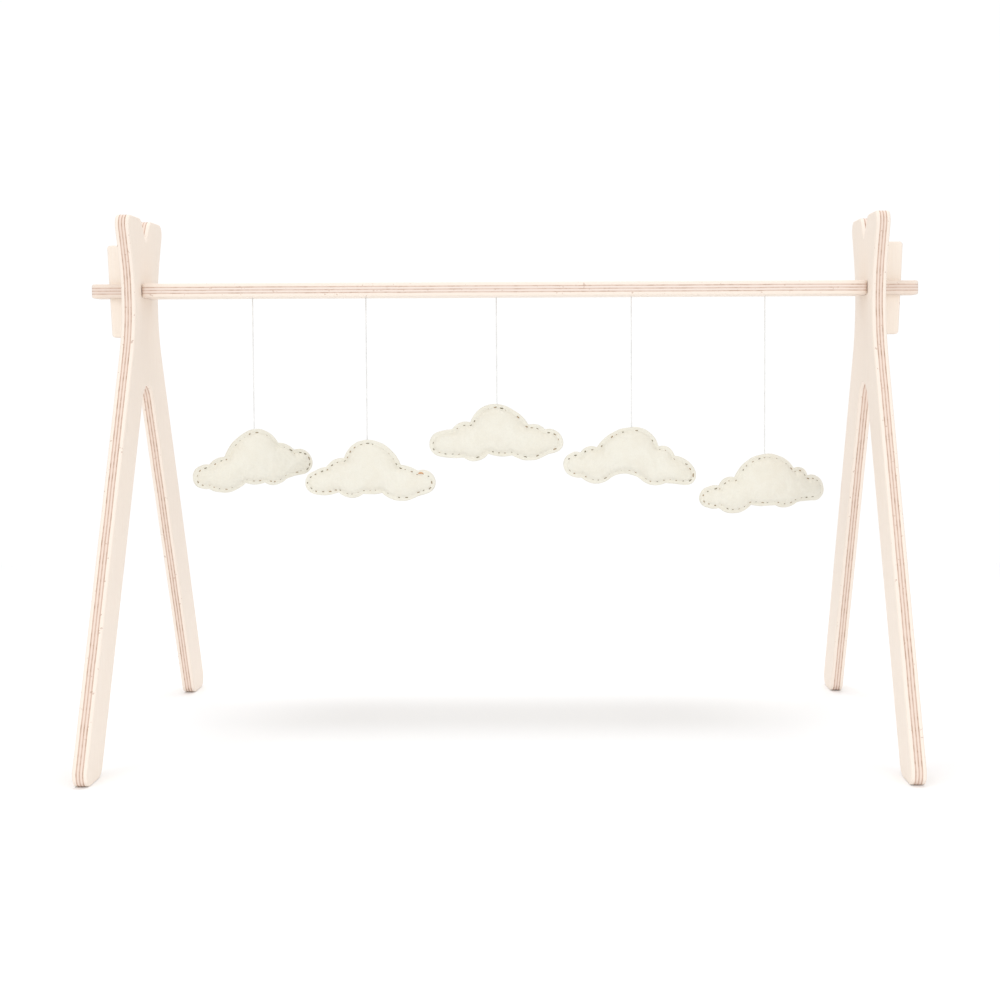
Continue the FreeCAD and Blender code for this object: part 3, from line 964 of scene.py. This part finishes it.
@dataclass
class FeltCloud:
    """A cloud of two felts, hand-sewn just inside their edge and stuffed with wool."""

    number: int
    turn: float
    curl: float = 0.0
    narrow: tuple = (1.0, 1.0)
    thread_end: tuple | None = None
    half_depth: float = 14.0 * MM
    felt: float = 1.15 * MM
    seam_inset: float = 3.9 * MM
    overhang: float = 0.6 * MM
    stitch_count: int = 47
    stitch_length: float = 3.0 * MM
    thread_radius: float = 0.57 * MM
    thread_lift: float = 0.12 * MM
    step: float = 1.9 * MM
    rise_rounds: int = 900
    cloth_frames: int = 20
    swell_cap: float = 3.5 * MM
    knot_depth: float = 7.0 * MM
    curl_reach: float = 70 * MM

    @property
    def body(self) -> str:
        """Name of the cloud's body."""
        return "cloud_%d" % self.number

    def outline(self) -> list[Vector]:
        """Cut edge of the felt.

        Returns:
            Its points in the cloud's own plane, once round.
        """
        left, right = self.narrow
        start, arcs = CUT_EDGES[self.number]
        points, start = [], Vector(start) * MM
        for middle, end in arcs:
            points += arc_points(start, Vector(middle) * MM, Vector(end) * MM, self.step)
            start = Vector(end) * MM
        for point in points:
            point.x *= left if point.x < 0 else right
        return points

    def inward(self, loop: list[Vector], distance: float) -> list[Vector]:
        """Moves a loop into the felt.

        Args:
            loop: The loop's points.
            distance: How far they move.

        Returns:
            The moved points.
        """
        moved = []
        for i, point in enumerate(loop):
            along = (loop[(i + 1) % len(loop)] - loop[i - 1]).normalized()
            moved.append(point + distance * Vector((along.y, -along.x)))
        return moved

    def filling(self, fence: np.ndarray) -> np.ndarray:
        """Points in even rows inside a loop.

        Args:
            fence: The loop's points, one row each.

        Returns:
            The points that lie well inside it.
        """
        low, high = fence.min(0), fence.max(0)
        row_step = self.step * ROW_PITCH
        inner = []
        for row in range(int((high[1] - low[1]) / row_step) + 1):
            z = low[1] + row * row_step
            x = low[0] + (row % 2) * self.step / 2
            while x < high[0]:
                inner.append((x, z))
                x += self.step
        inner = np.array(inner)
        inside = np.zeros(len(inner), bool)
        for (ax, az), (bx, bz) in zip(fence, np.roll(fence, -1, 0)):
            crosses = (az > inner[:, 1]) != (bz > inner[:, 1])
            rise = np.where(bz == az, 1e-12, bz - az)
            inside ^= crosses & (inner[:, 0] < ax + (inner[:, 1] - az) * (bx - ax) / rise)
        gap = np.sqrt(((inner[:, None, :] - fence[None]) ** 2).sum(2)).min(1)
        return inner[inside & (gap > 0.7 * self.step)]

    def sheet_points(self) -> tuple:
        """Flat triangles that fill the outline.

        Returns:
            Points (rows of x and z), triangles, and how many points lie on each edge loop.
        """
        rim = self.outline()
        loops = [rim] + [self.inward(rim, self.seam_inset * part) for part in (0.5, 1.0, 1.5)]
        count = len(rim)
        inner = self.filling(np.array([tuple(p) for p in loops[-1]]))
        points = [p for loop in loops for p in loop] + [Vector(p) for p in inner]
        edges = [(k * count + i, k * count + (i + 1) % count) for k in (0, 2)
                 for i in range(count)]
        made = geometry.delaunay_2d_cdt(points, edges, [], 1, 1e-7)
        places = [came[0] for came in made[3]]
        flat = np.array([tuple(p) for p in points])
        return flat, [[places[i] for i in face] for face in made[2]], count

    def loft(self, flat: np.ndarray, faces: list, count: int) -> np.ndarray:
        """Height of a stuffed felt over each point, as a membrane would rise.

        Args:
            flat: The flat points.
            faces: The triangles.
            count: Points on each edge loop.

        Returns:
            Heights, 0 on and outside the seam.
        """
        pairs = {tuple(sorted((f[i], f[i - 1]))) for f in faces for i in range(len(f))}
        a, b = np.array(sorted(pairs)).T
        degree = np.bincount(np.concatenate([a, b]), minlength=len(flat))
        held = np.arange(len(flat)) < 3 * count
        rise = np.zeros(len(flat))
        for _ in range(self.rise_rounds):
            total = np.bincount(a, rise[b], len(flat)) + np.bincount(b, rise[a], len(flat))
            rise = np.where(held, 0.0, (total + 1.0) / np.maximum(degree, 1))
        rise /= rise.max()
        return (self.half_depth - self.felt) * rise ** 0.5

    def puckered(self, seed: float, flat: np.ndarray, count: int, rise: np.ndarray) -> np.ndarray:
        """Depth of a felt: the stuffing's height, drawn in at each stitch and slightly lumpy.

        Args:
            seed: Where the noise is read.
            flat: The flat points.
            count: Points on each edge loop.
            rise: Height of the stuffing over each point.

        Returns:
            How far each point stands out from the cloud's middle plane.
        """
        depth = self.felt + rise
        snug = 0.5 + 0.5 * np.cos(math.tau * self.stitch_count / count * np.arange(count))
        for loop, change in enumerate((0.28, 0.22 * (1 - snug), -0.35 * snug, -0.45 * snug)):
            depth[loop * count:(loop + 1) * count] += change * MM
        for i, (x, z) in enumerate(flat):
            here = Vector((x, z, 0.0))
            lump = noise.noise(here * 38 + Vector((seed, 0, 0)))
            ripple = noise.noise(here * 130 + Vector((0, seed, 0)))
            weight = min(1.0, rise[i] / (4 * MM))
            depth[i] += (0.6 * lump * weight + 0.14 * ripple * (0.3 + weight)) * MM
        return depth

    def felt_sheet(self, side: Side, flat: np.ndarray, faces: list, count: int,
                   rise: np.ndarray) -> bpy.types.Object:
        """One felt in the cloud's own frame, before it gets its thickness.

        Args:
            side: Front or back.
            flat: The flat points.
            faces: The triangles.
            count: Points on each edge loop.
            rise: Height of the stuffing over each point.

        Returns:
            The sheet, with its outer face outwards.
        """
        seed = 10.0 * self.number + side.value
        depth = self.puckered(seed, flat, count, rise)
        points = np.column_stack([flat[:, 0], side.value * depth, flat[:, 1]])
        rim = [Vector(p) for p in flat[:count]]
        for i, point in enumerate(rim):
            along = (rim[(i + 1) % count] - rim[i - 1]).normalized()
            uneven = noise.noise(Vector((point.x, point.y, 0.01 * seed)) * 90)
            reach = self.overhang * ((0.6 if side is Side.BACK else 0.0) + 0.9 * uneven)
            points[i] += np.array((-along.y, 0.0, along.x)) * reach
        wound = [list(f) if side is Side.FRONT else list(reversed(f)) for f in faces]
        piece = mesh_piece("%s_%s_sheet" % (self.body, side.name.lower()), points, wound)
        piece.vertex_groups.new(name="seam").add(list(range(3 * count)), 1.0, "REPLACE")
        return piece

    def stuff(self, sheet: bpy.types.Object) -> None:
        """Swells a felt by cloth simulation, held at its seam, and keeps the result.

        Args:
            sheet: The felt, pinned by its group seam.
        """
        rest = np.array([tuple(v.co) for v in sheet.data.vertices])
        cloth = sheet.modifiers.new("stuffing", "CLOTH")
        for key, value in STUFFED_CLOTH.items():
            setattr(cloth.settings, key, value)
        cloth.settings.effector_weights.gravity = 0.0
        cloth.collision_settings.use_collision = False
        cloth.point_cache.frame_start, cloth.point_cache.frame_end = 1, self.cloth_frames
        scene = bpy.context.scene
        for tick in range(1, self.cloth_frames + 1):
            scene.frame_set(tick)
        evaluated = sheet.evaluated_get(bpy.context.evaluated_depsgraph_get())
        moved = np.array([tuple(v.co) for v in evaluated.data.vertices]) - rest
        far = np.linalg.norm(moved, axis=1)
        moved *= np.minimum(1.0, self.swell_cap / np.maximum(far, 1e-9))[:, None]
        sheet.modifiers.remove(cloth)
        scene.frame_set(1)
        sheet.data.vertices.foreach_set("co", (rest + moved).astype(np.float32).ravel())
        sheet.data.update()
        log.info("  %s swelled by up to %.1f mm", sheet.name, 1000 * far.max())

    def hang(self, piece: bpy.types.Object) -> None:
        """Curls a piece's right end back and hangs it from the end of its cord.

        Args:
            piece: A mesh in the cloud's own frame.
        """
        for point in piece.data.vertices:
            point.co.y += self.curl * (max(0.0, point.co.x) / self.curl_reach) ** 2
        x, low, _ = upright("cord_%d" % self.number)
        place = Matrix.Translation((x, 0.0, low - 0.3 * MM))
        piece.data.transform(place @ Matrix.Rotation(math.radians(self.turn), 4, "Z"))

    def stitches(self, side: Side, line: list[Vector], thread: bpy.types.Material,
                 tree: bpy.types.NodeTree) -> bpy.types.Object:
        """Running stitches on one side of the seam.

        Args:
            side: Front or back.
            line: Points of the seam on that side, in the cloud's own frame.
            thread: The thread's material.
            tree: The stitching geometry nodes.

        Returns:
            The stitches, a mesh in the cloud's own frame.
        """
        piece = line_through("%s_%s_stitches" % (self.body, side.name.lower()), line, True)
        sewing = piece.modifiers.new("sewing", "NODES")
        sewing.node_group = tree
        values = {"Stitch count": self.stitch_count, "Stitch length": self.stitch_length,
                  "Thread radius": self.thread_radius, "Outward": (0.0, side.value, 0.0),
                  "Seed": 10 * self.number + side.value + 1, "Thread": thread}
        for item in tree.interface.items_tree:
            if item.in_out == "INPUT" and item.name in values:
                sewing[item.identifier] = values[item.name]
        return finished(piece)

    def seam_line(self, side: Side, sheet: bpy.types.Object, count: int) -> list[Vector]:
        """Where the thread runs on one side, half a stitch further on at the back.

        Args:
            side: Front or back.
            sheet: The felt of that side.
            count: Points on each edge loop.

        Returns:
            The seam's points, just clear of the felt.
        """
        roll = 0 if side is Side.FRONT else round(count / self.stitch_count / 2)
        clear = Vector((0, side.value * self.thread_lift, 0))
        return [sheet.data.vertices[2 * count + (i + roll) % count].co + clear
                for i in range(count)]

    def thicken(self, side: Side, sheet: bpy.types.Object, felt: bpy.types.Material) -> None:
        """Args:
            side: Front or back.
            sheet: The felt of that side.
            felt: Its material.
        """
        thick = sheet.modifiers.new("felt", "SOLIDIFY")
        thick.thickness, thick.offset = self.felt, -1.0
        smooth = sheet.modifiers.new("soften", "SUBSURF")
        smooth.levels = smooth.render_levels = 1
        sheet.name = "%s_%s" % (self.body, side.name.lower())
        piece = finished(sheet)
        self.hang(piece)
        stuffing = [self.body + "_stuffing"] if side is Side.FRONT else []
        settle(piece, felt, self.body, "cloud_felt", piece.name + "_felt", *stuffing)
        log.info("%s, %d faces", piece.name, len(piece.data.polygons))

    def fasten_off(self, loose: bpy.types.Material) -> None:
        """Sews the short crossed stitches where the thread was fastened off.

        Args:
            loose: Material of that thread.
        """
        x, z = self.thread_end
        name = self.body + "_thread_end"
        face = Vector((x * MM, -self.felt - 0.45 * MM, z * MM))
        parts = []
        for i, (left, right, rise) in enumerate(((-2.6, 1.4, 0.4), (-1.2, 2.6, -0.5),
                                                 (-1.8, 2.0, 0.1))):
            ends = [face + Vector((across, 0.75 - abs(across) * 0.1, up)) * MM
                    for across, up in ((left, -rise), (right, rise))]
            crest = (ends[0] + ends[1]) / 2 + Vector((0.0, -0.75 - 0.12 * i, 0.25 * i)) * MM
            parts.append(tube_along("%s_%d" % (name, i), [ends[0], crest, ends[1]],
                                    self.thread_radius * 0.9))
        piece = joined(name, parts)
        self.hang(piece)
        settle(piece, loose, self.body, "stitching_thread")

    def anchor(self, cord: bpy.types.Material) -> None:
        """Ties the cord off inside the cloud.

        Args:
            cord: Material of the cord.
        """
        x, low, high = upright("cord_%d" % self.number)
        centre = Vector((x, 0.0, low - self.knot_depth))
        tie = HangingCord(self.number, high - low)
        knot = tie.overhand(self.body + "_anchor", centre, [[centre, Vector((x, 0.0, low))]])
        settle(knot, cord, self.body, "hanging_cord", self.body + "_anchor_knot")

    def build(self, felt: bpy.types.Material, thread: bpy.types.Material,
              loose: bpy.types.Material, cord: bpy.types.Material,
              tree: bpy.types.NodeTree) -> None:
        """Makes the cloud's pieces and hangs them.

        Args:
            felt: Material of the felts.
            thread: Material of the stitches.
            loose: Material of a thread that was fastened off in another colour.
            cord: Material of the cord.
            tree: The stitching geometry nodes.
        """
        flat, faces, count = self.sheet_points()
        rise = self.loft(flat, faces, count)
        sewn = []
        for side in Side:
            sheet = self.felt_sheet(side, flat, faces, count, rise)
            self.stuff(sheet)
            sewn.append(self.stitches(side, self.seam_line(side, sheet, count), thread, tree))
            self.thicken(side, sheet, felt)
        seam = joined(self.body + "_seam", sewn)
        self.hang(seam)
        settle(seam, thread, self.body, "stitching_thread", self.body + "_stitching")
        if self.thread_end:
            self.fasten_off(loose)
        self.anchor(cord)


@dataclass(frozen=True)
class RunningStitch:
    """Running stitches as a hand sews them, made by geometry nodes."""

    sunk: float = -0.9
    lift: float = 2.2
    skew: tuple = (0.10, 0.06, 0.24)
    astray: tuple = (1.3 * MM, 0.0, 0.5 * MM)
    smallest: tuple = (0.55, 0.8, 0.8)
    largest: tuple = (1.25, 1.2, 1.15)
    kept_share: float = 0.93

    def one_stitch(self, bench: Bench, source: Sockets) -> Socket:
        """Bends one stitch, with both ends in the felt.

        Args:
            bench: Bench on the tree.
            source: The tree's inputs.

        Returns:
            The stitch's mesh.
        """
        half = bench.times(source["Stitch length"], 0.5)
        back = bench.times(half, -1.0)
        sunk, lift = (bench.times(source["Thread radius"], part)
                      for part in (self.sunk, self.lift))
        ends = [bench.add("ShaderNodeCombineXYZ", {0: x, 2: z}).outputs[0]
                for x, z in ((back, sunk), (0.0, lift), (half, sunk))]
        bow = bench.add("GeometryNodeCurveQuadraticBezier",
                        {"Resolution": 6, "Start": ends[0], "Middle": ends[1], "End": ends[2]})
        ring = bench.add("GeometryNodeCurvePrimitiveCircle",
                         {"Resolution": 7, "Radius": source["Thread radius"]})
        return bench.add("GeometryNodeCurveToMesh", {
            "Curve": bow.outputs[0], "Profile Curve": ring.outputs[0],
            "Fill Caps": True}).outputs[0]

    def drawn(self, bench: Bench, source: Sockets, low: tuple,
              high: tuple) -> Socket:
        """Draws a random vector between two limits for each stitch."""
        return bench.add("FunctionNodeRandomValue", {0: low, 1: high, "Seed": source["Seed"]},
                         data_type="FLOAT_VECTOR").outputs[0]

    def tree(self) -> bpy.types.NodeTree:
        """Builds the tree that sews along a closed line.

        Returns:
            The tree, with inputs Stitch count, Stitch length, Thread radius, Outward, Seed
            and Thread.
        """
        tree = bpy.data.node_groups.new("running_stitches", "GeometryNodeTree")
        sockets = (("Line", "Geometry"), ("Stitch count", "Int"), ("Stitch length", "Float"),
                   ("Thread radius", "Float"), ("Outward", "Vector"), ("Seed", "Int"),
                   ("Thread", "Material"))
        for name, kind in sockets:
            tree.interface.new_socket(name, in_out="INPUT", socket_type="NodeSocket" + kind)
        tree.interface.new_socket("Stitches", in_out="OUTPUT", socket_type="NodeSocketGeometry")
        bench = Bench(tree)
        source, result = bench.add("NodeGroupInput").outputs, bench.add("NodeGroupOutput")
        places = bench.add("GeometryNodeResampleCurve", {"Curve": source["Line"],
                                                         "Count": source["Stitch count"]})
        tangent = bench.add("GeometryNodeInputTangent").outputs[0]
        facing = bench.add("FunctionNodeAxesToRotation", {0: source["Outward"], 1: tangent},
                           primary_axis="Z", secondary_axis="X")
        skew, astray = (self.drawn(bench, source, tuple(-v for v in most), most)
                        for most in (self.skew, self.astray))
        turned = bench.add("FunctionNodeRotateRotation", {0: facing.outputs[0], 1: skew},
                           rotation_space="LOCAL")
        spread = bench.add("GeometryNodeSetPosition", {"Geometry": places.outputs[0],
                                                       "Offset": astray})
        kept = bench.add("FunctionNodeRandomValue",
                         {"Probability": self.kept_share, "Seed": source["Seed"]},
                         data_type="BOOLEAN")
        rows = bench.add("GeometryNodeInstanceOnPoints", {
            "Points": spread.outputs[0], "Selection": kept.outputs[3],
            "Instance": self.one_stitch(bench, source), "Rotation": turned.outputs[0],
            "Scale": self.drawn(bench, source, self.smallest, self.largest)})
        real = bench.add("GeometryNodeRealizeInstances", {0: rows.outputs[0]})
        threaded = bench.add("GeometryNodeSetMaterial", {"Geometry": real.outputs[0],
                                                         "Material": source["Thread"]})
        bench.feed(result.inputs[0], threaded.outputs[0])
        return tree


# ---------------------------------------------------------------- wood


@dataclass
class PlywoodWork:
    """The wooden pieces: end frames, crossbar and wedges."""

    # How far from each shoulder the bar turns darker.
    shoulder_dark_reach: float = 18 * MM

    def build(self, shelf: Shelf) -> None:
        """Dresses every wooden piece.

        Args:
            shelf: The shared shader groups.
        """
        for seed, side in enumerate(("left", "right"), start=1):
            self.dress_node(side + "_end_frame", shelf, PlywoodFinish(
                side + "_frame_birch", Axis.X, Axis.Z, upright(side + "_end_frame")[0],
                1.7 * seed))
            self.dress_node(side + "_wedge", shelf, PlywoodFinish(
                side + "_wedge_birch", Axis.Y, Axis.Z, 0.0, 4.1 * seed,
                face=shade(248, 238, 227), face_streak=shade(243, 231, 218)))
        _, low, high = upright("crossbar")
        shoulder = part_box("right_end_frame")[0].x
        self.dress_node("crossbar", shelf, PlywoodFinish(
            "crossbar_birch", Axis.Z, Axis.X, (low + high) / 2, 9.3,
            inner_ply=shade(236, 222, 212), dark_ply=shade(212, 187, 172),
            dark_deep=shade(194, 165, 147),
            shoulder_dark_start=shoulder - self.shoulder_dark_reach, shoulder_dark_end=shoulder))

    def dress_node(self, node: str, shelf: Shelf, finish: PlywoodFinish) -> None:
        """Gives one wooden piece its finish.

        Args:
            node: Name of the piece.
            shelf: The shared shader groups.
            finish: Its plywood.
        """
        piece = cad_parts[node]
        dress(piece, finish.build(shelf))
        log.info("%s in %s", node, finish.name)


def main() -> None:
    """Builds the studio, the cords, the wood and the clouds, in that order."""
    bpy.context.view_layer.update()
    Studio().build()
    shelf = Shelf()
    cotton = ThreadFinish("cotton_cord", shade(234, 234, 233), shade(222, 222, 221),
                          90.0, 260.0).build(shelf)
    for number in CLOUDS:
        _, low, high = upright("cord_%d" % number)
        HangingCord(number, high - low).build(cotton)
    PlywoodWork().build(shelf)
    felt = FeltFinish("undyed_felt").build(shelf)
    thread = ThreadFinish("brown_thread", shade(164, 138, 106), shade(128, 121, 100),
                          110.0, 700.0).build(shelf)
    loose = ThreadFinish("amber_thread", shade(224, 168, 112), shade(206, 140, 84),
                         160.0, 700.0).build(shelf)
    tree = RunningStitch().tree()
    clouds = (
        FeltCloud(1, 26.0, curl=8.0 * MM, narrow=(0.93, 0.98)),
        FeltCloud(2, -3.0, thread_end=(59.0, -36.5)),
        FeltCloud(3, 0.0),
        FeltCloud(4, 2.0),
        FeltCloud(5, 18.0, curl=9.0 * MM, narrow=(1.0, 1.10)),
    )
    for cloud in clouds:
        cloud.build(felt, thread, loose, cotton, tree)
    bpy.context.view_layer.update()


if __name__ == "__main__":
    main()
